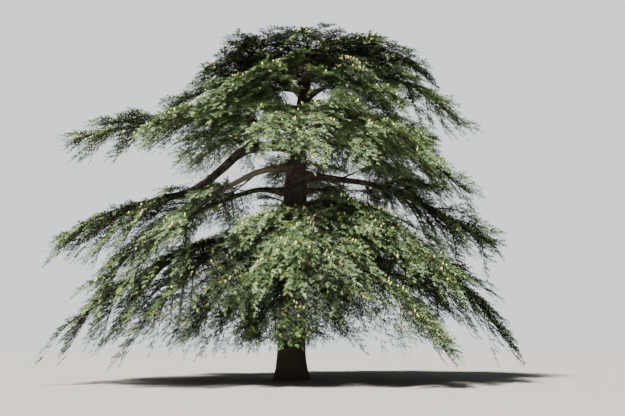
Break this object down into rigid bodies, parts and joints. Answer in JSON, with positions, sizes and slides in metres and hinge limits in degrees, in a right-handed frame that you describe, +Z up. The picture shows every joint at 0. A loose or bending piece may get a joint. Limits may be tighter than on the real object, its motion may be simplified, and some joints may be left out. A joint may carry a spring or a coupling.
{
  "type": "cedar tree",
  "caption": "Mature cedar with a thick flared trunk, long arching boughs and flat tiers of drooping needle foliage that carry upright cones.",
  "frame": {"origin": "on the ground, in the middle of the trunk's flat cut", "axes": "+Z up along the trunk, +X to the viewer's right in the picture, +Y away from the viewer"},
  "size_m": [25.6245, 20.0943, 21.491],
  "materials": {
    "bark": "rough, fissured grey-brown bark",
    "foliage": "matt blue-grey green needles in sprays",
    "cones": "matt pale tan woody scales"
  },
  "bodies": {
    "root": {"trunk": "bark", "bough_low_back": "bark", "bough_low_back_left": "bark", "bough_low_back_right": "bark", "bough_low_front": "bark", "bough_low_front_left": "bark", "bough_low_front_right": "bark", "bough_low_left": "bark", "bough_low_right": "bark", "bough_middle_back": "bark", "bough_middle_back_left": "bark", "bough_middle_back_right": "bark", "bough_middle_front": "bark", "bough_middle_front_left": "bark", "bough_middle_front_right": "bark", "bough_middle_left": "bark", "bough_middle_right": "bark", "bough_upper_left": "bark", "bough_upper_right": "bark", "mass_dome_back_left": "foliage", "mass_dome_back_right": "foliage", "mass_dome_front": "foliage", "mass_dome_left": "foliage", "mass_dome_right": "foliage", "mass_low_back": "foliage", "mass_low_back_left": "foliage", "mass_low_back_right": "foliage", "mass_low_front": "foliage", "mass_low_front_left": "foliage", "mass_low_front_right": "foliage", "mass_low_left": "foliage", "mass_low_right": "foliage", "mass_middle_back": "foliage", "mass_middle_back_left": "foliage", "mass_middle_back_right": "foliage", "mass_middle_front": "foliage", "mass_middle_front_left": "foliage", "mass_middle_front_right": "foliage", "mass_middle_left": "foliage", "mass_middle_right": "foliage", "mass_shoulder_back": "foliage", "mass_shoulder_back_left": "foliage", "mass_shoulder_back_right": "foliage", "mass_shoulder_front": "foliage", "mass_shoulder_front_left": "foliage", "mass_shoulder_front_right": "foliage", "mass_shoulder_left": "foliage", "mass_shoulder_right": "foliage", "mass_top_back": "foliage", "mass_top_front": "foliage", "mass_top_leader": "foliage", "mass_top_left": "foliage", "mass_top_right": "foliage", "mass_upper_back": "foliage", "mass_upper_back_left": "foliage", "mass_upper_back_right": "foliage", "mass_upper_front_left": "foliage", "mass_upper_front_right": "foliage", "mass_upper_left": "foliage", "mass_upper_right": "foliage"}
  },
  "joints": []
}
